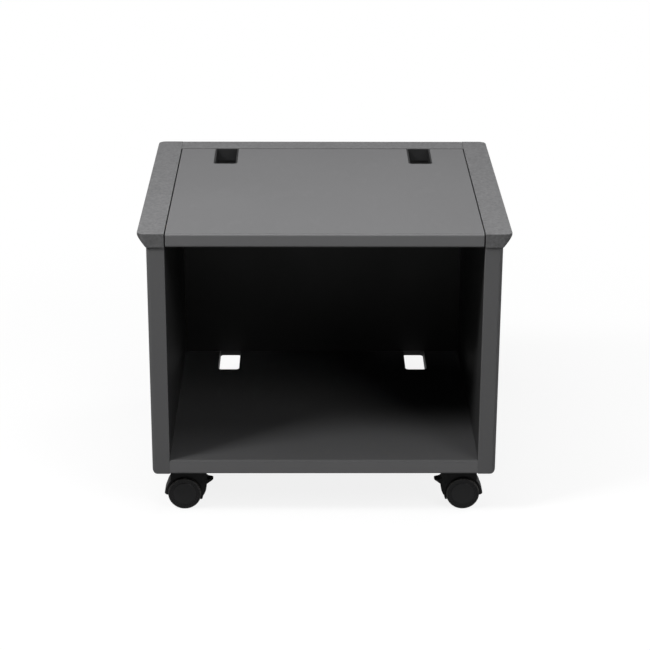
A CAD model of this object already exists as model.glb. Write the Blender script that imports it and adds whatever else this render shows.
"""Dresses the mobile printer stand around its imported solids.

The boards, rails, hoods and brake levers follow their solids with softened edges. The wheels
and the small fittings come from geometry node trees, and every finish is a node material.
Sizes are in metres: X runs to the right, Y to the back and Z up from the floor.
"""

import logging
import math
from abc import ABC, abstractmethod
from dataclasses import dataclass, field
from enum import Enum
from typing import Any, Callable, Mapping, Optional, Sequence, Union

import bmesh
import bpy
from mathutils import Matrix, Vector


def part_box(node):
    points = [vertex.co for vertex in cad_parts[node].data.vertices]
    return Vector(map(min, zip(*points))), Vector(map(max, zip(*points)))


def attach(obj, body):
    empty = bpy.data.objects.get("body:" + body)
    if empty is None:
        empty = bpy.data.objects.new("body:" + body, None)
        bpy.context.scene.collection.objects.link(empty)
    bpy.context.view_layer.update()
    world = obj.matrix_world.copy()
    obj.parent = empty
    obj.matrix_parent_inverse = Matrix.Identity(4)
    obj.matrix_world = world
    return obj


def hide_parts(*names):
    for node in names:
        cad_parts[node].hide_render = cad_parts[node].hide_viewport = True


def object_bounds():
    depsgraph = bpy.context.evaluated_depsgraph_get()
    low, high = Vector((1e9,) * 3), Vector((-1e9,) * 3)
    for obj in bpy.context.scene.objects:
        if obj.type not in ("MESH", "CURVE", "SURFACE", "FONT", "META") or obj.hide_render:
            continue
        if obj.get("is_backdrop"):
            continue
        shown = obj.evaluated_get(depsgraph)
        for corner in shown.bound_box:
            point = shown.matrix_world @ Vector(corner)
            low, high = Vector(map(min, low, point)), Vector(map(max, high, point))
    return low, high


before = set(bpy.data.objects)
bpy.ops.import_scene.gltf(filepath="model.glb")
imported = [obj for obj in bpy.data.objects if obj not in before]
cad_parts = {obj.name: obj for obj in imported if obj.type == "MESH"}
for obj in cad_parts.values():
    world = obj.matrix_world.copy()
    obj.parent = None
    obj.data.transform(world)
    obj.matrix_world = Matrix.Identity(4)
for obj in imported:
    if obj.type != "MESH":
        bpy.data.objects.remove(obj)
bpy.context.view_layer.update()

LOG = logging.getLogger("printer_stand")
MM = 0.001
MERGE = 1e-6
FLAT = math.radians(0.5)
NEAR = 0.02 * MM
CORNER = math.radians(35)
CREASE = math.radians(50)
FITTING_CREASE = math.radians(30)
ROUND_CREASE = math.radians(40)
WHOLE_TURN = 2 * math.pi
FITTING_STEPS = 48
SEED = 7
NOISE_MIDDLE = 0.5
CABINET = "cabinet"
WHITE = (1.0, 1.0, 1.0, 1.0)

# Places of sockets that share their names with others of a node.
MIX_INPUTS, MIX_COLOUR = (0, 6, 7), 2
RANDOM_RANGE, RANDOM_FLOAT = (2, 3), 1

Triple = tuple[float, float, float]
Colour = Triple
Point = tuple[float, float]
Key = Union[str, int]
EdgeTest = Callable[[bmesh.types.BMEdge], bool]


class Slot(Enum):
    """The material slots of the part's record."""

    BOARD = "board"
    RAIL = "rail"
    EDGE_BAND = "edge_band"
    ZINC = "zinc"
    PLATED_STEEL = "plated_steel"
    COVER_PLASTIC = "cover_plastic"
    DOWEL_WOOD = "dowel_wood"
    HOOD_PLASTIC = "hood_plastic"
    WHEEL_PLASTIC = "wheel_plastic"


class Side(Enum):
    """The stand's sides, along X."""

    LEFT = -1
    RIGHT = 1


class End(Enum):
    """The stand's front and rear, along Y."""

    FRONT = -1
    REAR = 1


class Twin(Enum):
    """The two wheels of a caster, along Y."""

    FRONT = -1
    BACK = 1


class Value:
    """A node's output that takes part in Python sums."""

    def __init__(self, graph: "Graph", socket: bpy.types.NodeSocket) -> None:
        """Keeps the socket and the graph that it is in."""
        self.graph = graph
        self.socket = socket

    def other(self, name: str) -> "Value":
        """Another output of the same node."""
        return Value(self.graph, self.socket.node.outputs[name])

    def __add__(self, term: "Term") -> "Value":
        """The sum of this and a term."""
        return self.graph.math("ADD", self, term)

    __radd__ = __add__

    def __sub__(self, term: "Term") -> "Value":
        """This less a term."""
        return self.graph.math("SUBTRACT", self, term)

    def __rsub__(self, term: "Term") -> "Value":
        """A term less this."""
        return self.graph.math("SUBTRACT", term, self)

    def __mul__(self, term: "Term") -> "Value":
        """This times a term."""
        return self.graph.math("MULTIPLY", self, term)

    __rmul__ = __mul__

    def __truediv__(self, term: "Term") -> "Value":
        """This over a term."""
        return self.graph.math("DIVIDE", self, term)

    def __rtruediv__(self, term: "Term") -> "Value":
        """A term over this."""
        return self.graph.math("DIVIDE", term, self)

    def __mod__(self, term: "Term") -> "Value":
        """What is left of this after whole terms."""
        return self.graph.math("MODULO", self, term)

    def larger(self, term: "Term") -> "Value":
        """The larger of this and a term."""
        return self.graph.math("MAXIMUM", self, term)

    def apply(self, operation: str) -> "Value":
        """This through a Math node of one term, such as COSINE or FLOOR."""
        return self.graph.math(operation, self)

    def swing(self, most: float) -> "Value":
        """How far a noise is from its middle, times a measure."""
        return (self - NOISE_MIDDLE) * most

    def between(self, low: float, high: float) -> "Value":
        """How far this is from low to high, smoothly, from 0 to 1."""
        sockets = {"Value": self, "From Min": low, "From Max": high}
        return self.graph.node("ShaderNodeMapRange", sockets, interpolation_type="SMOOTHSTEP")


Term = Union[Value, float, int]


class Graph:
    """A node tree in the making, for a shader or for geometry."""

    def __init__(self, tree: bpy.types.NodeTree) -> None:
        """Keeps the tree, without the nodes that it came with."""
        self.tree = tree
        tree.nodes.clear()

    def node(
        self, kind: str, sockets: Optional[Mapping[Key, Any]] = None, out: Key = 0, **settings: Any
    ) -> Value:
        """Adds a node, with its settings first and its sockets after them.

        Args:
            kind: The node's type.
            sockets: The values or links of its inputs, by name or place.
            out: The output that is wanted, by name or place.
            settings: Its properties, such as an operation.

        Returns:
            That output.
        """
        made = self.tree.nodes.new(kind)
        for key, value in settings.items():
            setattr(made, key, value)
        for key, value in (sockets or {}).items():
            if isinstance(value, Value):
                self.tree.links.new(value.socket, made.inputs[key])
            else:
                made.inputs[key].default_value = value
        return Value(self, made.outputs[out])

    def end(self, kind: str, name: str, value: Value) -> None:
        """Ends the tree with an output node, whose named input takes a value."""
        self.tree.links.new(value.socket, self.tree.nodes.new(kind).inputs[name])

    def math(self, operation: str, *terms: Term) -> Value:
        """Adds a Math node on one term or two."""
        return self.node("ShaderNodeMath", dict(enumerate(terms)), operation=operation)

    def place(self) -> Value:
        """The surface's place on its piece."""
        return self.node("ShaderNodeTexCoord", out="Object")

    def noise(self, size: float, stretch: Triple = (1.0, 1.0, 1.0), *, detail: int) -> Value:
        """Adds a noise of values from 0 to 1.

        Args:
            size: The size of its patches, in metres.
            stretch: The scale of the place along each axis, under 1 to draw the patches out.
            detail: How many finer layers it has.

        Returns:
            The noise.
        """
        place = self.node("ShaderNodeMapping", {"Vector": self.place(), "Scale": stretch})
        sockets = {"Vector": place, "Scale": 1 / size, "Detail": detail}
        return self.node("ShaderNodeTexNoise", sockets, normalize=True)

    def mark(self, name: str) -> Value:
        """The mark that a mesh holds for each of its faces."""
        return self.node("ShaderNodeAttribute", out="Fac", attribute_name=name)

    def tint(self, colour: Colour, tone: Value) -> Value:
        """A colour made lighter or darker by a tone round 1."""
        return self.node("ShaderNodeVectorMath", {0: colour, "Scale": tone}, operation="SCALE")

    def mix(self, share: Value, first: Any, second: Any) -> Value:
        """A mix of two colours, with a share of the second from 0 to 1."""
        sockets = dict(zip(MIX_INPUTS, (share, first, second)))
        return self.node("ShaderNodeMix", sockets, MIX_COLOUR, data_type="RGBA", clamp_factor=True)

    def relief(self, height: Value, depth: float, strength: float) -> Value:
        """A normal that follows a height, of which 1 stands for a depth in metres."""
        sockets = {"Height": height, "Distance": depth, "Strength": strength}
        return self.node("ShaderNodeBump", sockets)


def opaque(colour: Colour) -> tuple[float, ...]:
    """A colour with an alpha of 1."""
    return (*colour, 1.0)


@dataclass(frozen=True)
class Finish(ABC):
    """A surface's look, made as a node material."""

    name: str
    slot: Slot
    colour: Colour
    roughness: float

    def material(self) -> bpy.types.Material:
        """Makes the material, or finds it if it is made already.

        Returns:
            The material.
        """
        made = bpy.data.materials.get(self.name)
        if made is None:
            made = bpy.data.materials.new(self.name)
            made.use_nodes = True
            made.diffuse_color = opaque(self.colour)
            graph = Graph(made.node_tree)
            shader = graph.node("ShaderNodeBsdfPrincipled", self.surface(graph))
            graph.end("ShaderNodeOutputMaterial", "Surface", shader)
        return made

    @abstractmethod
    def surface(self, graph: Graph) -> dict[str, Any]:
        """The values and links of the surface's shader.

        Args:
            graph: The material's nodes.

        Returns:
            The shader's sockets by name.
        """


@dataclass(frozen=True)
class Foil(Finish):
    """Satin foil on a board, with a drifting tone, a fine grain and edges that are rubbed paler.

    A face with a dim mark is darker by that share.
    """

    grain: float = 0.7 * MM
    grain_depth: float = 0.03 * MM
    grain_strength: float = 0.6
    drift: float = 0.05
    drift_size: float = 160 * MM
    speckle: float = 0.10
    wear: float = 0.2
    rub_size: float = 14 * MM
    rub_range: Point = (0.35, 0.7)
    smear_size: float = 30 * MM
    smear_stretch: Triple = (1.0, 0.35, 1.0)
    smear_range: Point = (0.52, 0.75)
    rough_shares: Triple = (0.12, 0.1, 0.05)
    gloss: float = 0.3

    def surface(self, graph: Graph) -> dict[str, Any]:
        """Makes the foil's tone, roughness and relief.

        Args:
            graph: The material's nodes.

        Returns:
            The shader's sockets by name.
        """
        drift = graph.noise(self.drift_size, detail=3)
        grain = graph.noise(self.grain, detail=2)
        smear = graph.noise(self.smear_size, self.smear_stretch, detail=4).between(*self.smear_range)
        rub = graph.mark("edge") * graph.noise(self.rub_size, detail=4).between(*self.rub_range)
        tone = 1 + drift.swing(2 * self.drift) + grain.swing(self.speckle) + rub * self.wear
        by_drift, by_grain, by_smear = self.rough_shares
        rough = self.roughness + drift.swing(by_drift) + grain.swing(by_grain) - smear * by_smear
        return {
            "Base Color": graph.tint(self.colour, tone * (1 - graph.mark("dim"))),
            "Roughness": rough,
            "Specular IOR Level": self.gloss,
            "Normal": graph.relief(grain, self.grain_depth, self.grain_strength),
        }


@dataclass(frozen=True)
class Moulding(Finish):
    """Black moulded plastic with a sparked grain, dull scuffs and, on a wheel, a dusty tread."""

    grain: float = 0.35 * MM
    grain_depth: float = 0.02 * MM
    grain_strength: float = 0.5
    flow_size: float = 20 * MM
    tone_shares: Point = (0.3, 0.2)
    wear: float = 0.8
    rub_range: Point = (0.35, 0.65)
    scuff_size: float = 5 * MM
    scuff_stretch: Triple = (1.0, 1.0, 0.4)
    scuff_range: Point = (0.55, 0.75)
    dust: Colour = (0.085, 0.08, 0.073)
    dust_share: float = 0.55
    dust_size: float = 4 * MM
    dust_range: Point = (0.35, 0.7)
    rough_shares: Triple = (0.16, 0.12, 0.2)
    gloss: float = 0.4

    def surface(self, graph: Graph) -> dict[str, Any]:
        """Makes the plastic's tone, roughness and relief.

        Args:
            graph: The material's nodes.

        Returns:
            The shader's sockets by name.
        """
        flow = graph.noise(self.flow_size, detail=3)
        grain = graph.noise(self.grain, detail=1)
        scuff = graph.noise(self.scuff_size, self.scuff_stretch, detail=4).between(*self.scuff_range)
        rub = graph.mark("edge") * flow.between(*self.rub_range)
        dusty = graph.mark("tread") * graph.noise(self.dust_size, detail=3).between(*self.dust_range)
        flowing, grainy = self.tone_shares
        tone = 1 + flow.swing(flowing) + grain.swing(grainy) + rub * self.wear
        colour = graph.mix(dusty * self.dust_share, graph.tint(self.colour, tone), opaque(self.dust))
        by_flow, by_scuff, by_dust = self.rough_shares
        return {
            "Base Color": colour,
            "Roughness": self.roughness + flow.swing(by_flow) + scuff * by_scuff + dusty * by_dust,
            "Specular IOR Level": self.gloss,
            "Normal": graph.relief(grain, self.grain_depth, self.grain_strength),
        }


@dataclass(frozen=True)
class Plating(Finish):
    """Metal with a drawn grain, dull spots and faint stains."""

    stain: Colour = (0.32, 0.29, 0.25)
    stain_share: float = 0.45
    drawn: Triple = (1.0, 1.0, 0.06)
    line_size: float = 0.4 * MM
    line_depth: float = 0.01 * MM
    line_strength: float = 0.4
    cloud_size: float = 9 * MM
    spot_range: Point = (0.55, 0.75)
    tone_shares: Point = (0.2, 0.16)
    rough_shares: Point = (0.2, 0.15)

    def surface(self, graph: Graph) -> dict[str, Any]:
        """Makes the metal's tone, roughness and relief.

        Args:
            graph: The material's nodes.

        Returns:
            The shader's sockets by name.
        """
        lines = graph.noise(self.line_size, self.drawn, detail=3)
        cloud = graph.noise(self.cloud_size, detail=4)
        spots = cloud.between(*self.spot_range)
        lined, clouded = self.tone_shares
        tone = 1 + lines.swing(lined) + cloud.swing(clouded)
        by_lines, by_spots = self.rough_shares
        stained = graph.mix(spots * self.stain_share, graph.tint(self.colour, tone), opaque(self.stain))
        return {
            "Base Color": stained,
            "Metallic": 1.0,
            "Roughness": self.roughness + lines.swing(by_lines) + spots * by_spots,
            "Normal": graph.relief(lines, self.line_depth, self.line_strength),
        }


@dataclass(frozen=True)
class Timber(Finish):
    """Wood with long fibres and short dark flecks."""

    fibre_size: float = 0.8 * MM
    fibre_stretch: Triple = (0.08, 1.0, 1.0)
    fibre_depth: float = 0.05 * MM
    fibre_strength: float = 0.5
    fibre_shares: Point = (0.5, 0.2)
    fleck: Colour = (0.11, 0.06, 0.03)
    fleck_share: float = 0.6
    fleck_size: float = 0.5 * MM
    fleck_stretch: Triple = (0.2, 1.0, 1.0)
    fleck_range: Point = (0.6, 0.72)

    def surface(self, graph: Graph) -> dict[str, Any]:
        """Makes the wood's tone, roughness and relief.

        Args:
            graph: The material's nodes.

        Returns:
            The shader's sockets by name.
        """
        fibre = graph.noise(self.fibre_size, self.fibre_stretch, detail=4)
        flecks = graph.noise(self.fleck_size, self.fleck_stretch, detail=1).between(*self.fleck_range)
        in_tone, in_rough = self.fibre_shares
        tinted = graph.tint(self.colour, 1 + fibre.swing(in_tone))
        return {
            "Base Color": graph.mix(flecks * self.fleck_share, tinted, opaque(self.fleck)),
            "Roughness": self.roughness + fibre.swing(in_rough),
            "Normal": graph.relief(fibre, self.fibre_depth, self.fibre_strength),
        }


BOARD_FOIL = Foil("satin_board_foil", Slot.BOARD, (0.105, 0.105, 0.107), 0.48)
RAIL_FOIL = Foil(
    "textured_rail_foil", Slot.RAIL, (0.105, 0.105, 0.107), 0.58,
    grain=4.5 * MM, grain_depth=0.2 * MM, speckle=1.0, drift=0.04,
)
EDGE_BAND = Foil(
    "edge_band_plastic", Slot.EDGE_BAND, (0.114, 0.114, 0.116), 0.62,
    grain=0.5 * MM, grain_depth=0.02 * MM, wear=0.1, gloss=0.1,
)
CAST_ZINC = Plating("grey_cast_zinc", Slot.ZINC, (0.50, 0.50, 0.51), 0.42, drawn=(1.0, 1.0, 1.0))
PLATED_STEEL = Plating("bright_plated_steel", Slot.PLATED_STEEL, (0.58, 0.58, 0.57), 0.30)
BOLT_STEEL = Plating(
    "dark_bolt_steel", Slot.PLATED_STEEL, (0.09, 0.09, 0.092), 0.5, stain=(0.05, 0.042, 0.035)
)
COVER_PLASTIC = Moulding("black_cover_nylon", Slot.COVER_PLASTIC, (0.014, 0.014, 0.0145), 0.5, gloss=0.2)
HOOD_PLASTIC = Moulding("black_hood_nylon", Slot.HOOD_PLASTIC, (0.005, 0.005, 0.0053), 0.5, gloss=0.15)
WHEEL_PLASTIC = Moulding("black_wheel_nylon", Slot.WHEEL_PLASTIC, (0.012, 0.012, 0.0125), 0.46, gloss=0.25)
DOWEL_WOOD = Timber("dowel_beech", Slot.DOWEL_WOOD, (0.20, 0.14, 0.09), 0.65)


class Solid:
    """A mesh in the making, with marks on its faces for the finishes."""

    def __init__(self, mesh: bpy.types.Mesh) -> None:
        """Takes a copy of a mesh and joins up its points.

        Args:
            mesh: The mesh.
        """
        self.bm = bmesh.new()
        self.bm.from_mesh(mesh)
        bmesh.ops.remove_doubles(self.bm, verts=self.bm.verts, dist=MERGE)
        self.edge = self.bm.faces.layers.float.new("edge")

    @classmethod
    def of_node(cls, node: str) -> "Solid":
        """A copy of a CAD node, with its flat faces joined up.

        Args:
            node: The node's name.

        Returns:
            The copy.
        """
        made = cls(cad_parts[node].data)
        bmesh.ops.dissolve_limit(made.bm, angle_limit=FLAT, verts=made.bm.verts, edges=made.bm.edges)
        return made

    def soften(self, width: float, picks: EdgeTest, steps: int = 3) -> "Solid":
        """Rounds the sharp edges that a test picks, and marks the faces of the rounding.

        Args:
            width: How far the rounding reaches from an edge.
            picks: The test of an edge.
            steps: How many faces the rounding has across.

        Returns:
            This solid.
        """
        sharp = [e for e in self.bm.edges if is_sharp(e) and picks(e)]
        made = bmesh.ops.bevel(
            self.bm, geom=sharp, offset=width, offset_type="OFFSET", segments=steps,
            profile=0.5, affect="EDGES", clamp_overlap=True, loop_slide=True,
        )
        for face in made["faces"]:
            face[self.edge] = 1.0
        bmesh.ops.dissolve_degenerate(self.bm, edges=self.bm.edges, dist=MERGE)
        return self

    def mark(self, name: str, value: Callable[[bmesh.types.BMFace], float]) -> "Solid":
        """Gives each face a mark.

        Args:
            name: The mark's name.
            value: The mark of a face.

        Returns:
            This solid.
        """
        layer = self.bm.faces.layers.float.new(name)
        for face in self.bm.faces:
            face[layer] = float(value(face))
        return self

    def mesh(self, name: str, crease: float = CREASE) -> bpy.types.Mesh:
        """Makes the mesh, smooth but for its creases, with its normals led by its large faces.

        Args:
            name: The mesh's name.
            crease: The least angle of an edge that stays sharp.

        Returns:
            The mesh.
        """
        rough = bpy.data.meshes.new(name)
        self.bm.to_mesh(rough)
        self.bm.free()
        rough.shade_smooth()
        rough.set_sharp_from_angle(angle=crease)
        holder = linked(name, rough)
        holder.modifiers.new("normals", "WEIGHTED_NORMAL").keep_sharp = True
        return evaluated(holder)


def is_sharp(edge: bmesh.types.BMEdge) -> bool:
    """Whether two faces meet at an edge with a plain corner."""
    return edge.is_manifold and edge.calc_face_angle(0.0) > CORNER


def linked(name: str, data: bpy.types.ID) -> bpy.types.Object:
    """Puts an object in the scene.

    Args:
        name: The object's name.
        data: Its mesh, light or camera.

    Returns:
        The object.
    """
    made = bpy.data.objects.new(name, data)
    bpy.context.scene.collection.objects.link(made)
    return made


def evaluated(holder: bpy.types.Object) -> bpy.types.Mesh:
    """Trades an object and its modifiers for the plain mesh that they make.

    Args:
        holder: The object, which is removed.

    Returns:
        The mesh.
    """
    graph = bpy.context.evaluated_depsgraph_get()
    made = bpy.data.meshes.new_from_object(holder.evaluated_get(graph))
    bpy.data.objects.remove(holder)
    return made


def mesh_of(
    name: str, points: Sequence[Sequence[float]], edges: Sequence[Sequence[int]] = ()
) -> bpy.types.Mesh:
    """A mesh of points and lines.

    Args:
        name: The mesh's name.
        points: Its points.
        edges: The pairs of points that its lines join.

    Returns:
        The mesh.
    """
    made = bpy.data.meshes.new(name)
    made.from_pydata(points, edges, [])
    return made


class ShapeTree:
    """A geometry node tree with named inputs, which ends in real faces and a material."""

    def __init__(self, name: str, inputs: Mapping[str, str]) -> None:
        """Makes the tree's sockets.

        Args:
            name: The tree's name.
            inputs: The kind of each input's socket, by the input's name.
        """
        self.tree = bpy.data.node_groups.new(name, "GeometryNodeTree")
        sides = self.tree.interface
        sides.new_socket("Geometry", in_out="OUTPUT", socket_type="NodeSocketGeometry")
        kinds = {"Geometry": "Geometry", **inputs, "Finish": "Material"}
        self.keys = {
            key: sides.new_socket(key, in_out="INPUT", socket_type=f"NodeSocket{kind}").identifier
            for key, kind in kinds.items()
        }
        self.graph = Graph(self.tree)
        self.given: Callable[[str], Value] = self.graph.node("NodeGroupInput").other

    def close(self, geometry: Value) -> None:
        """Turns instances into faces, gives them the material and ends the tree.

        Args:
            geometry: What the tree makes.
        """
        faces = self.graph.node("GeometryNodeRealizeInstances", {"Geometry": geometry})
        sockets = {"Geometry": faces, "Material": self.given("Finish")}
        dressed = self.graph.node("GeometryNodeSetMaterial", sockets)
        self.graph.end("NodeGroupOutput", "Geometry", dressed)

    def close_on_base(self, instances: Value) -> None:
        """Joins instances to the mesh that the tree starts from, and ends the tree.

        Args:
            instances: The instances.
        """
        join = self.graph.node("GeometryNodeJoinGeometry", {"Geometry": instances})
        self.tree.links.new(self.given("Geometry").socket, join.socket.node.inputs[0])
        self.close(join)

    def make(self, base: bpy.types.Mesh, finish: Finish, **sizes: Any) -> bpy.types.Mesh:
        """Runs the tree on a mesh.

        Args:
            base: The mesh that the tree starts from.
            finish: The finish of what it makes.
            sizes: The inputs, by name, with _ for a space.

        Returns:
            A plain mesh.
        """
        holder = linked(self.tree.name, base)
        run = holder.modifiers.new(self.tree.name, "NODES")
        run.node_group = self.tree
        for key, value in {**sizes, "Finish": finish.material()}.items():
            run[self.keys[key.replace("_", " ")]] = value
        return evaluated(holder)


class LatheTree(ShapeTree):
    """Turns a profile, drawn with its radius along X, round the Z axis."""

    def __init__(self) -> None:
        """Builds the tree."""
        super().__init__("lathe", {"Steps": "Int"})
        graph, profile, steps = self.graph, self.given("Geometry"), self.given("Steps")
        count = graph.node("GeometryNodeAttributeDomainSize", {"Geometry": profile})
        sheet = graph.node("GeometryNodeMeshGrid", {"Vertices X": steps + 1, "Vertices Y": count})
        index = graph.node("GeometryNodeInputIndex")
        place = graph.node("GeometryNodeInputPosition")
        sockets = {"Geometry": profile, "Value": place, "Index": index % count}
        drawn = graph.node("GeometryNodeSampleIndex", sockets, data_type="FLOAT_VECTOR", domain="POINT")
        part = graph.node("ShaderNodeSeparateXYZ", {0: drawn})
        angle = (index / count).apply("FLOOR") * WHOLE_TURN / steps
        across, along = part * angle.apply("COSINE"), part * angle.apply("SINE")
        spun = graph.node("ShaderNodeCombineXYZ", {"X": across, "Y": along, "Z": part.other("Z")})
        turned = graph.node("GeometryNodeSetPosition", {"Geometry": sheet, "Position": spun})
        self.close(graph.node("GeometryNodeMergeByDistance", {"Geometry": turned, "Distance": MERGE}))

    def turn(self, profile: Sequence[Point], steps: int, finish: Finish) -> bpy.types.Mesh:
        """Turns a profile of radius and height.

        Args:
            profile: The profile's points.
            steps: How many faces go round.
            finish: The finish of what is turned.

        Returns:
            A closed mesh whose faces look outwards.
        """
        points = [(r, 0.0, z) for r, z in profile]
        base = mesh_of("profile", points, [(i, i + 1) for i in range(len(points) - 1)])
        made = self.make(base, finish, Steps=steps)
        work = bmesh.new()
        work.from_mesh(made)
        bmesh.ops.dissolve_degenerate(work, edges=work.edges, dist=MERGE)
        bmesh.ops.recalc_face_normals(work, faces=work.faces)
        work.to_mesh(made)
        work.free()
        return made


class RibRingTree(ShapeTree):
    """Sets a ring of ribs round the Z axis of a mesh."""

    def __init__(self) -> None:
        """Builds the tree."""
        sizes = {"Count": "Int", "Middle Radius": "Float", "Rib Size": "Vector", "Level": "Float"}
        super().__init__("rib_ring", sizes)
        graph, given = self.graph, self.given
        rib = graph.node("GeometryNodeMeshCube", {"Size": given("Rib Size")})
        shift = graph.node("ShaderNodeCombineXYZ", {"X": given("Middle Radius"), "Z": given("Level")})
        set_out = graph.node("GeometryNodeTransform", {"Geometry": rib, "Translation": shift})
        centres = graph.node("GeometryNodePoints", {"Count": given("Count")})
        share = graph.node("GeometryNodeInputIndex") / given("Count")
        turn = graph.node("ShaderNodeCombineXYZ", {"Z": share * WHOLE_TURN})
        sockets = {"Points": centres, "Instance": set_out, "Rotation": turn}
        self.close_on_base(graph.node("GeometryNodeInstanceOnPoints", sockets))


class RowTree(ShapeTree):
    """Sets a row of bars at even steps from a first place."""

    def __init__(self) -> None:
        """Builds the tree."""
        vectors = dict.fromkeys(("First", "Step", "Bar Size", "Tilt"), "Vector")
        super().__init__("bar_row", {"Count": "Int", **vectors})
        graph, given = self.graph, self.given
        sockets = {"Count": given("Count"), "Start Location": given("First"), "Offset": given("Step")}
        line = graph.node("GeometryNodeMeshLine", sockets, mode="OFFSET")
        bar = graph.node("GeometryNodeMeshCube", {"Size": given("Bar Size")})
        sockets = {"Points": line, "Instance": bar, "Rotation": given("Tilt")}
        self.close_on_base(graph.node("GeometryNodeInstanceOnPoints", sockets))


@dataclass(frozen=True)
class Place:
    """Where a fitting goes, and which way it faces."""

    point: Triple
    facing: Triple


class FittingTree(ShapeTree):
    """Sets a fitting at each place of a mesh, sunk into its face and turned at random."""

    def __init__(self) -> None:
        """Builds the tree."""
        sizes = {"Fitting": "Object", "Sink": "Float", "Most Turn": "Float", "Seed": "Int"}
        super().__init__("fittings", sizes)
        graph, given = self.graph, self.given
        shape = graph.node("GeometryNodeObjectInfo", {"Object": given("Fitting")}, "Geometry")
        sockets = {"Name": "facing"}
        faced = graph.node("GeometryNodeInputNamedAttribute", sockets, data_type="FLOAT_VECTOR")
        aim = graph.node("FunctionNodeAlignRotationToVector", {"Vector": faced}, axis="Z")
        sockets = {"Points": given("Geometry"), "Instance": shape, "Rotation": aim}
        placed = graph.node("GeometryNodeInstanceOnPoints", sockets)
        drop = graph.node("ShaderNodeCombineXYZ", {"Z": 0 - given("Sink")})
        sunk = graph.node("GeometryNodeTranslateInstances", {"Instances": placed, "Translation": drop})
        low, high = RANDOM_RANGE
        sockets = {low: 0.0, high: given("Most Turn"), "Seed": given("Seed")}
        roll = graph.node("FunctionNodeRandomValue", sockets, RANDOM_FLOAT, data_type="FLOAT")
        spin = graph.node("ShaderNodeCombineXYZ", {"Z": roll})
        self.close(graph.node("GeometryNodeRotateInstances", {"Instances": sunk, "Rotation": spin}))

    def set_out(
        self, places: Sequence[Place], shape: bpy.types.Mesh, finish: Finish, sink: float = 0.0
    ) -> bpy.types.Mesh:
        """Sets a fitting at each place, turned by up to half a turn.

        Args:
            places: Where the fittings go and which way they face.
            shape: One fitting, facing up.
            finish: Its finish.
            sink: How far it is sunk into its face.

        Returns:
            One mesh of all the fittings.
        """
        base = mesh_of("places", [p.point for p in places])
        facing = base.attributes.new("facing", "FLOAT_VECTOR", "POINT")
        facing.data.foreach_set("vector", [x for p in places for x in p.facing])
        pattern = linked("fitting", shape)
        made = self.make(base, finish, Fitting=pattern, Sink=sink, Most_Turn=WHOLE_TURN / 2, Seed=SEED)
        bpy.data.objects.remove(pattern)
        return made


@dataclass
class Trees:
    """The node trees for turned and repeated shapes."""

    lathe: LatheTree = field(default_factory=LatheTree)
    rib_ring: RibRingTree = field(default_factory=RibRingTree)
    row: RowTree = field(default_factory=RowTree)
    fittings: FittingTree = field(default_factory=FittingTree)

    def slotted(
        self, profile: Sequence[Point], steps: int, finish: Finish, slot: Triple
    ) -> bpy.types.Mesh:
        """Turns a fitting and cuts a cross slot into its top.

        Args:
            profile: Its profile, which ends in the middle of its top.
            steps: How many faces go round.
            finish: Its finish.
            slot: The length, the width and the depth of the slot's arms.

        Returns:
            The fitting, facing up.
        """
        top = Vector((0, 0, profile[-1][1]))
        length, width, deep = slot
        arms = [(top, Vector((x, y, 2 * deep))) for x, y in ((length, width), (width, length))]
        crossed = cut(self.lathe.turn(profile, steps, finish), arms)
        return Solid(crossed).mesh("fitting", FITTING_CREASE)


def cut(shape: bpy.types.Mesh, blocks: Sequence[tuple[Vector, Vector]]) -> bpy.types.Mesh:
    """Cuts blocks out of a mesh.

    Args:
        shape: The mesh.
        blocks: The middle and the size of each block.

    Returns:
        The mesh with the blocks cut out.
    """
    work = bmesh.new()
    for middle, size in blocks:
        matrix = Matrix.Translation(middle) @ Matrix.Diagonal((*size, 1.0))
        bmesh.ops.create_cube(work, size=1.0, matrix=matrix)
    mesh = bpy.data.meshes.new("blocks")
    work.to_mesh(mesh)
    work.free()
    tool = linked("blocks", mesh)
    holder = linked("shape", shape)
    carve = holder.modifiers.new("carve", "BOOLEAN")
    carve.operation = "DIFFERENCE"
    carve.solver = "EXACT"
    carve.use_self = True
    carve.object = tool
    made = evaluated(holder)
    bpy.data.objects.remove(tool)
    return made


def arc(middle: Point, radius: float, start: float, end: float, steps: int = 5) -> list[Point]:
    """The points of an arc of so many straight pieces, between two angles in degrees."""
    turns = [math.radians(start + (end - start) * i / steps) for i in range(steps + 1)]
    return [(middle[0] + radius * math.cos(t), middle[1] + radius * math.sin(t)) for t in turns]


def add_piece(name: str, mesh: bpy.types.Mesh, body: str, finish: Finish, node: str) -> None:
    """Puts a finished mesh in the scene, on its body, in place of its CAD node.

    Args:
        name: The piece's name.
        mesh: Its mesh, in place.
        body: The body that it rides on.
        finish: Its finish.
        node: The CAD node that it stands for.
    """
    mesh.name = name
    mesh.materials.clear()
    mesh.materials.append(finish.material())
    made = linked(name, mesh)
    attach(made, body)
    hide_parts(node)
    LOG.info("%s: %d faces, on %s, for %s", name, len(mesh.polygons), body, node)


def dress_node(node: str, finish: Finish) -> None:
    """Gives a CAD node that stays its finish.

    Args:
        node: The node's name.
        finish: The finish.
    """
    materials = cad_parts[node].data.materials
    materials.clear()
    materials.append(finish.material())
    LOG.info("%s: stays, in %s", node, finish.name)


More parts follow.
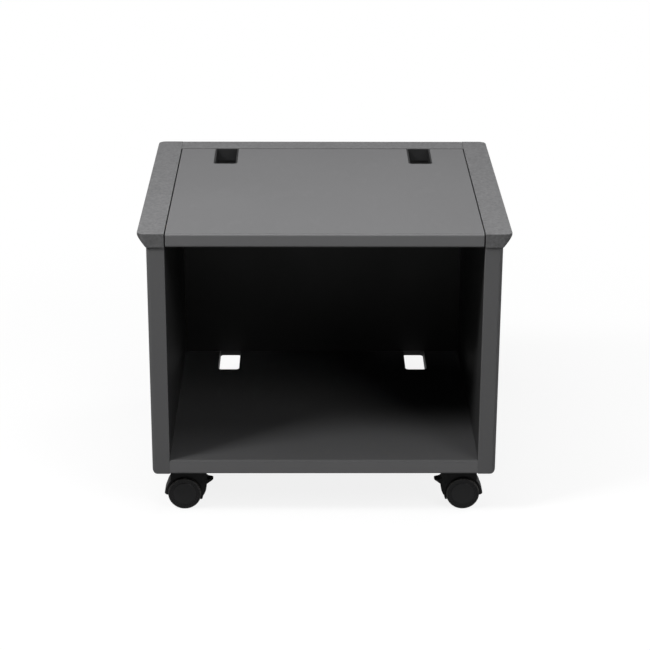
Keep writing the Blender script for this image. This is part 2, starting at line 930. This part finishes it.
@dataclass
class Board:
    """A board, rail or band of the cabinet, which follows its solid.

    The more a face looks the dim way, if the board has one, the darker it is, up to the dim share.
    A softened edge lies on at least so many of the outer faces: two leaves out the rims of holes.
    """

    name: str
    node: str
    finish: Finish
    softness: float
    dim_way: Triple = (0, 0, 0)
    dim_share: float = 0.6
    edge_faces: int = 1

    def build(self) -> None:
        """Builds the board, with the edges on its outer faces softened."""
        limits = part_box(self.node)
        solid = Solid.of_node(self.node).soften(self.softness, lambda edge: self.outer(edge, limits))
        mesh = solid.mark("dim", self.dimness).mesh(self.name)
        add_piece(self.name, mesh, CABINET, self.finish, self.node)

    def outer(self, edge: bmesh.types.BMEdge, limits: Sequence[Vector]) -> bool:
        """Whether both ends of an edge lie on enough of the same faces of the board's box."""
        first, second = (v.co for v in edge.verts)
        return self.edge_faces <= sum(
            abs(first[i] - limit[i]) < NEAR and abs(second[i] - limit[i]) < NEAR
            for limit in limits for i in range(3)
        )

    def dimness(self, face: bmesh.types.BMFace) -> float:
        """How much darker a face is."""
        return self.dim_share * math.sqrt(max(0.0, face.normal.dot(self.dim_way)))


@dataclass
class Cabinet:
    """The boards of the stand and the fittings that hold them together."""

    trees: Trees
    boards: Sequence[Board] = (
        Board("top_board", "top_panel", BOARD_FOIL, 0.9 * MM, (0, 0, -1)),
        Board("bottom_board", "bottom_panel", BOARD_FOIL, 0.6 * MM, (0, 0, 1), 0.56),
        Board("left_side_board", "left_side_panel", BOARD_FOIL, 0.6 * MM, (1, 0, 0), 0.8),
        Board("right_side_board", "right_side_panel", BOARD_FOIL, 0.6 * MM, (-1, 0, 0), 0.8),
        Board("back_board", "back_panel", BOARD_FOIL, 0.6 * MM, (0, -1, 0), 0.84),
        Board("left_rail", "left_top_rail", RAIL_FOIL, 1.1 * MM, (0, -1, 0), 0.2),
        Board("right_rail", "right_top_rail", RAIL_FOIL, 1.1 * MM, (0, -1, 0), 0.2),
        Board("rear_strip", "rear_top_strip", RAIL_FOIL, 1.0 * MM, (0, -1, 0), 0.95, 2),
        Board("top_band", "top_edge_band", EDGE_BAND, 0.9 * MM),
        Board("bottom_band", "bottom_edge_band", EDGE_BAND, 0.5 * MM, (0, 0, 1), 0.55),
        Board("left_side_band", "left_side_edge_band", EDGE_BAND, 1.1 * MM, (0, -1, 0), 0.19),
        Board("right_side_band", "right_side_edge_band", EDGE_BAND, 1.1 * MM, (0, -1, 0), 0.19),
        Board("port_grommets", "cable_grommets", COVER_PLASTIC, 0.5 * MM),
    )
    lock_radius: float = 7.5 * MM
    lock_height: float = 13 * MM
    lock_slot: Triple = (9 * MM, 1.6 * MM, 2 * MM)
    lock_sink: float = 0.1 * MM
    lock_chamfer: float = 0.5 * MM
    lock_x: float = 197 * MM
    lock_rows: Sequence[float] = (-120.5 * MM, 0.0, 120.5 * MM)
    top_lock_rows: Sequence[float] = (-120.5 * MM, -22 * MM, 76.5 * MM)
    rail_lock_rows: Sequence[float] = (-92.5 * MM, 0.0, 92.5 * MM)
    rail_lock_z: float = 393 * MM
    strip_lock_y: float = 228.5 * MM
    back_lock_heights: Sequence[float] = (160 * MM, 357 * MM)
    cover_radius: float = 8.5 * MM
    cover_rise: float = 1.2 * MM
    cover_bevel: float = 0.5 * MM
    cover_lip: Point = (0.4, 0.75)
    cover_fall: float = 0.25
    cover_rings: Sequence[float] = (0.8, 0.6, 0.4, 0.2, 0.0)

    def build(self) -> None:
        """Builds the boards, then the fittings."""
        for board in self.boards:
            board.build()
        add_piece("lock_discs", self.locks(), CABINET, CAST_ZINC, "cam_locks")
        add_piece("lock_covers", self.covers(), CABINET, COVER_PLASTIC, "cam_covers")
        dress_node("cam_bolts", BOLT_STEEL)
        dress_node("wood_dowels", DOWEL_WOOD)
        dress_node("swivel_washers", HOOD_PLASTIC)

    def rail_places(self) -> list[Place]:
        """The places of the locks under the rails, inside the sides."""
        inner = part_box("back_panel")[1].x
        return [
            Place((s.value * inner, y, self.rail_lock_z), (-float(s.value), 0.0, 0.0))
            for s in Side for y in self.rail_lock_rows
        ]

    def lock_places(self) -> list[Place]:
        """Lists all the locks.

        Returns:
            Their places.
        """
        down, back = (0.0, 0.0, -1.0), (0.0, 1.0, 0.0)
        bottom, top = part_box("bottom_panel")[0].z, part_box("top_panel")[0].z
        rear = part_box("back_panel")[1].y
        made = self.rail_places()
        for s in Side:
            x = s.value * self.lock_x
            made += [Place((x, y, bottom), down) for y in self.lock_rows]
            made += [Place((x, y, top), down) for y in (*self.top_lock_rows, self.strip_lock_y)]
            made += [Place((x, rear, z), back) for z in self.back_lock_heights]
        return made

    def locks(self) -> bpy.types.Mesh:
        """Makes the locks: discs with a chamfered face and a cross slot.

        Returns:
            One mesh of all the locks.
        """
        radius, depth, edge = self.lock_radius, self.lock_height, self.lock_chamfer
        profile = [(0, -depth), (radius, -depth), (radius, -edge), (radius - edge, 0), (0, 0)]
        lock = self.trees.slotted(profile, FITTING_STEPS, CAST_ZINC, self.lock_slot)
        return self.trees.fittings.set_out(self.lock_places(), lock, CAST_ZINC, self.lock_sink)

    def covers(self) -> bpy.types.Mesh:
        """Makes the covers: shallow domes with a rim, over the locks inside the sides.

        Returns:
            One mesh of all the covers.
        """
        radius, rise = self.cover_radius, self.cover_rise
        low, high = (share * rise for share in self.cover_lip)
        lip = [(0, 0), (radius, 0), (radius, low), (radius - self.cover_bevel, high)]
        dome = [(radius * k, rise * (1 - self.cover_fall * k * k)) for k in self.cover_rings]
        cap = self.trees.lathe.turn(lip + dome, FITTING_STEPS, COVER_PLASTIC)
        cover = Solid(cap).mesh("cover", ROUND_CREASE)
        return self.trees.fittings.set_out(self.rail_places(), cover, COVER_PLASTIC)


@dataclass
class Caster:
    """A twin-wheel caster at one corner of the stand.

    The crown of a wheel's cap is how far its points lie in from the cap's edge and down from its top.
    """

    trees: Trees
    side: Side
    end: End
    trail: float = 14 * MM
    wheel_radius: float = 25 * MM
    wheel_width: float = 13 * MM
    wheel_out: float = 7.3 * MM
    bore_radius: float = 3.05 * MM
    bore_depth: float = 10.8 * MM
    tread_round: float = 1.6 * MM
    cap_radius: float = 17.5 * MM
    groove_radius: float = 22.8 * MM
    groove_depth: float = 1.2 * MM
    groove_slope: float = 0.5 * MM
    crown: Sequence[Point] = (
        (0.0, 0.4 * MM), (0.6 * MM, 0.1 * MM), (5.25 * MM, 0.02 * MM), (11.375 * MM, 0.0)
    )
    wheel_steps: int = 96
    rib_count: int = 30
    rib_width: float = 1.1 * MM
    rib_height: float = 0.7 * MM
    rib_gap: float = 0.2 * MM
    rib_sink: float = 0.05 * MM
    softness: float = 0.5 * MM
    soft_steps: int = 2
    grip_count: int = 4
    grip_first: Triple = (-22.0 * MM, 0.0, 43.1 * MM)
    grip_step: Triple = (-1.6 * MM, 0.0, 0.1 * MM)
    grip_size: Triple = (0.7 * MM, 9 * MM, 0.7 * MM)
    grip_tilt: float = math.radians(3.5)

    @property
    def corner(self) -> str:
        """The corner's name, as the CAD nodes have it."""
        return f"{self.end.name}_{self.side.name}".lower()

    @property
    def kingpin(self) -> Vector:
        """The kingpin's place on the floor."""
        low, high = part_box(f"{self.corner}_kingpin")
        return Vector(((low.x + high.x) / 2, (low.y + high.y) / 2, 0.0))

    def build(self) -> None:
        """Builds the caster's pieces."""
        self.follow("plate", "caster_plate", CABINET, PLATED_STEEL)
        self.follow("hood", "caster_hood", f"{self.corner}_swivel", HOOD_PLASTIC)
        for twin in Twin:
            self.wheel(twin)
        dress_node(f"{self.corner}_kingpin", PLATED_STEEL)
        dress_node(f"{self.corner}_axle", PLATED_STEEL)
        if self.end is End.FRONT:
            self.pedal()
            dress_node(f"{self.corner}_lever_pin", HOOD_PLASTIC)

    def follow(self, name: str, part: str, body: str, finish: Finish) -> None:
        """Builds a piece that follows a solid with softened edges, both named without the corner."""
        node = f"{self.corner}_{part}"
        add_piece(f"{self.corner}_{name}", self.softened(node).mesh(name), body, finish, node)

    def softened(self, node: str) -> Solid:
        """A copy of a CAD node with all its sharp edges softened."""
        return Solid.of_node(node).soften(self.softness, lambda edge: True, self.soft_steps)

    def wheel_profile(self) -> list[Point]:
        """Draws a wheel from its bore out over the tread to the middle of its face.

        Returns:
            The profile.
        """
        radius, width, edge = self.wheel_radius, self.wheel_width, self.tread_round
        cap, groove, floor = self.cap_radius, self.groove_radius, width - self.groove_depth
        return [
            (0, self.bore_depth),
            (self.bore_radius, self.bore_depth),
            (self.bore_radius, 0),
            *arc((radius - edge, edge), edge, -90, 0),
            *arc((radius - edge, width - edge), edge, 0, 90),
            (groove, width),
            (groove - self.groove_slope, floor),
            (cap + self.groove_slope, floor),
            *[(cap - inset, width - drop) for inset, drop in self.crown],
            (0, width),
        ]

    def wheel(self, twin: Twin) -> None:
        """Builds a wheel: a turned body with a ring of short ribs round its cap.

        Args:
            twin: Which of the two wheels.
        """
        name = f"{self.corner}_{twin.name.lower()}_wheel"
        body = self.trees.lathe.turn(self.wheel_profile(), self.wheel_steps, WHEEL_PLASTIC)
        inner, outer = self.cap_radius + self.rib_gap, self.groove_radius - self.rib_gap
        ribbed = self.trees.rib_ring.make(
            body, WHEEL_PLASTIC, Count=self.rib_count, Middle_Radius=(inner + outer) / 2,
            Rib_Size=(outer - inner, self.rib_width, self.rib_height),
            Level=self.wheel_width - self.groove_depth + self.rib_height / 2 - self.rib_sink,
        )
        tread = self.wheel_radius - self.tread_round
        solid = Solid(ribbed)
        solid.mark("tread", lambda face: math.hypot(*face.calc_center_median().xy) > tread)
        ahead, out = self.side.value * self.trail, twin.value * self.wheel_out
        place = self.kingpin + Vector((ahead, out, self.wheel_radius))
        mesh = solid.mesh(name, ROUND_CREASE)
        mesh.transform(Matrix.Translation(place) @ Matrix.Rotation(-twin.value * math.pi / 2, 4, "X"))
        add_piece(f"{name}_turned", mesh, name, WHEEL_PLASTIC, name)

    def pedal(self) -> None:
        """Builds the brake's lever, with a row of grip bars across its foot tab."""
        node = f"{self.corner}_brake_lever"
        lever = self.softened(node).mesh("lever")
        way = self.side.value
        first = self.kingpin + Vector((way * self.grip_first[0], *self.grip_first[1:]))
        mesh = self.trees.row.make(
            lever, HOOD_PLASTIC, Count=self.grip_count, First=first,
            Step=(way * self.grip_step[0], *self.grip_step[1:]),
            Bar_Size=self.grip_size, Tilt=(0.0, way * self.grip_tilt, 0.0),
        )
        add_piece(f"{self.corner}_brake_pedal", mesh, node, HOOD_PLASTIC, node)


@dataclass
class PlateScrews:
    """The screws that hold the caster plates, four to a plate.

    The dome of a head is given as shares of its radius and its height.
    """

    trees: Trees
    casters: Sequence[Caster]
    pitch: float = 28 * MM
    head_radius: float = 3.6 * MM
    head_height: float = 2.0 * MM
    head_dome: Sequence[Point] = ((1.0, 0.45), (0.96, 0.68), (0.85, 0.87), (0.6, 1.0))
    shank_radius: float = 2.0 * MM
    shank_length: float = 18 * MM
    point_length: float = 2.0 * MM
    point_radius: float = 0.4 * MM
    steps: int = 32
    slot: Triple = (4.4 * MM, 1.0 * MM, 1.0 * MM)

    def build(self) -> None:
        """Builds one piece of all the screws."""
        profile = [
            (0, -self.shank_length),
            (self.point_radius, -self.shank_length),
            (self.shank_radius, self.point_length - self.shank_length),
            (self.shank_radius, 0),
            (self.head_radius, 0),
            *[(self.head_radius * out, self.head_height * up) for out, up in self.head_dome],
            (0, self.head_height),
        ]
        screw = self.trees.slotted(profile, self.steps, PLATED_STEEL, self.slot)
        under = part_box(f"{self.casters[0].corner}_caster_plate")[0].z
        half = self.pitch / 2
        places = [
            Place((c.kingpin.x + i * half, c.kingpin.y + j * half, under), (0.0, 0.0, -1.0))
            for c in self.casters for i in (-1, 1) for j in (-1, 1)
        ]
        mesh = self.trees.fittings.set_out(places, screw, PLATED_STEEL)
        add_piece("plate_screws", mesh, CABINET, PLATED_STEEL, "caster_screws")


@dataclass(frozen=True)
class SoftLamp:
    """A square soft light that looks at the stand.

    The level is how bright it makes a white card that faces it at the stand.
    """

    name: str
    azimuth: float
    elevation: float
    distance: float
    size: float
    level: float

    def build(self, target: Vector) -> None:
        """Builds the lamp.

        Args:
            target: What it looks at.
        """
        turn, rise = math.radians(self.azimuth), math.radians(self.elevation)
        way = Vector((math.sin(turn) * math.cos(rise), -math.cos(turn) * math.cos(rise), math.sin(rise)))
        data = bpy.data.lights.new(self.name, "AREA")
        data.shape = "SQUARE"
        data.size = self.size
        data.energy = self.level * (math.pi * self.distance) ** 2
        made = linked(self.name, data)
        made.location = target + way * self.distance
        made.rotation_euler = way.to_track_quat("Z", "Y").to_euler()


@dataclass
class Studio:
    """The floor, the lights and the camera."""

    lamps: Sequence[SoftLamp] = (
        SoftLamp("key_lamp", -58, 48, 3.0, 0.65, 0.89),
        SoftLamp("fill_lamp", 40, 36, 3.0, 1.2, 0.38),
        SoftLamp("top_lamp", 0, 78, 1.4, 0.8, 0.68),
        SoftLamp("rear_lamp", 122, 30, 3.0, 1.6, 0.34),
    )
    ambient: float = 0.02
    floor_half: float = 30.0
    floor_pale: Colour = (0.82, 0.82, 0.82)
    floor_bounce: Colour = (0.30, 0.30, 0.30)
    glow_near: float = 0.86
    glow_reach: Point = (0.4, 1.2)
    gloss_share: float = 0.3
    eye: Triple = (-25.4 * MM, -2957.3 * MM, 1354.3 * MM)
    pitch: float = math.radians(21.075)
    yaw: float = math.radians(-0.551)
    roll: float = math.radians(0.218)
    lens: float = 110.68
    sensor: float = 36.0
    clip_end: float = 100.0

    def build(self) -> None:
        """Builds the studio."""
        bpy.context.scene.view_settings.view_transform = "Standard"
        low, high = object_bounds()
        for lamp in self.lamps:
            lamp.build((low + high) / 2)
        self.world()
        self.floor()
        self.camera()

    def seen(self, graph: Graph) -> Value:
        """Whether a ray shows the background: straight, through glass or, in part, in a gloss.

        Args:
            graph: The nodes that ask.

        Returns:
            The share of the background that shows.
        """
        path = graph.node("ShaderNodeLightPath", out="Is Camera Ray")
        gloss = path.other("Is Glossy Ray") * self.gloss_share
        return path.larger(path.other("Is Transmission Ray")).larger(gloss)

    def world(self) -> None:
        """Makes the world: white behind the stand, and a low even light."""
        made = bpy.data.worlds.new("studio")
        made.use_nodes = True
        graph = Graph(made.node_tree)
        dim = graph.node("ShaderNodeBackground", {"Color": WHITE, "Strength": self.ambient})
        white = graph.node("ShaderNodeBackground", {"Color": WHITE})
        both = graph.node("ShaderNodeMixShader", {0: self.seen(graph), 1: dim, 2: white})
        graph.end("ShaderNodeOutputWorld", "Surface", both)
        bpy.context.scene.world = made

    def floor(self) -> None:
        """Makes the floor: pale, with a soft shadow, and white further off."""
        made = bpy.data.materials.new("pale_floor")
        made.use_nodes = True
        graph = Graph(made.node_tree)
        far = graph.node("ShaderNodeVectorMath", {0: graph.place()}, "Value", operation="LENGTH")
        white = self.glow_near + far.between(*self.glow_reach) * (1 - self.glow_near)
        path = graph.node("ShaderNodeLightPath", out="Is Diffuse Ray")
        bounced = path.larger(path.other("Is Glossy Ray"))
        tone = graph.mix(bounced, opaque(self.floor_pale), opaque(self.floor_bounce))
        matt = graph.node("ShaderNodeBsdfDiffuse", {"Color": tone})
        glow = graph.node("ShaderNodeEmission", {"Color": WHITE})
        both = graph.node("ShaderNodeMixShader", {0: self.seen(graph) * white, 1: matt, 2: glow})
        graph.end("ShaderNodeOutputMaterial", "Surface", both)
        half = self.floor_half
        corners = [(-half, -half, 0), (half, -half, 0), (half, half, 0), (-half, half, 0)]
        mesh = bpy.data.meshes.new("floor")
        mesh.from_pydata(corners, [], [(0, 1, 2, 3)])
        mesh.materials.append(made)
        linked("floor", mesh)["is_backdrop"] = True

    def camera(self) -> None:
        """Makes the camera at the photograph's viewing angle."""
        data = bpy.data.cameras.new("camera")
        data.lens = self.lens
        data.sensor_width = self.sensor
        data.clip_end = self.clip_end
        made = linked("camera", data)
        turn = Matrix.Rotation(self.yaw, 4, "Z") @ Matrix.Rotation(math.pi / 2 - self.pitch, 4, "X")
        made.matrix_world = Matrix.Translation(self.eye) @ turn @ Matrix.Rotation(self.roll, 4, "Z")
        bpy.context.scene.camera = made


def main() -> None:
    """Builds the stand and its studio."""
    logging.basicConfig(level=logging.INFO, format="%(message)s")
    trees = Trees()
    Cabinet(trees).build()
    casters = [Caster(trees, side, end) for end in End for side in Side]
    for caster in casters:
        caster.build()
    PlateScrews(trees, casters).build()
    Studio().build()


if __name__ == "__main__":
    main()
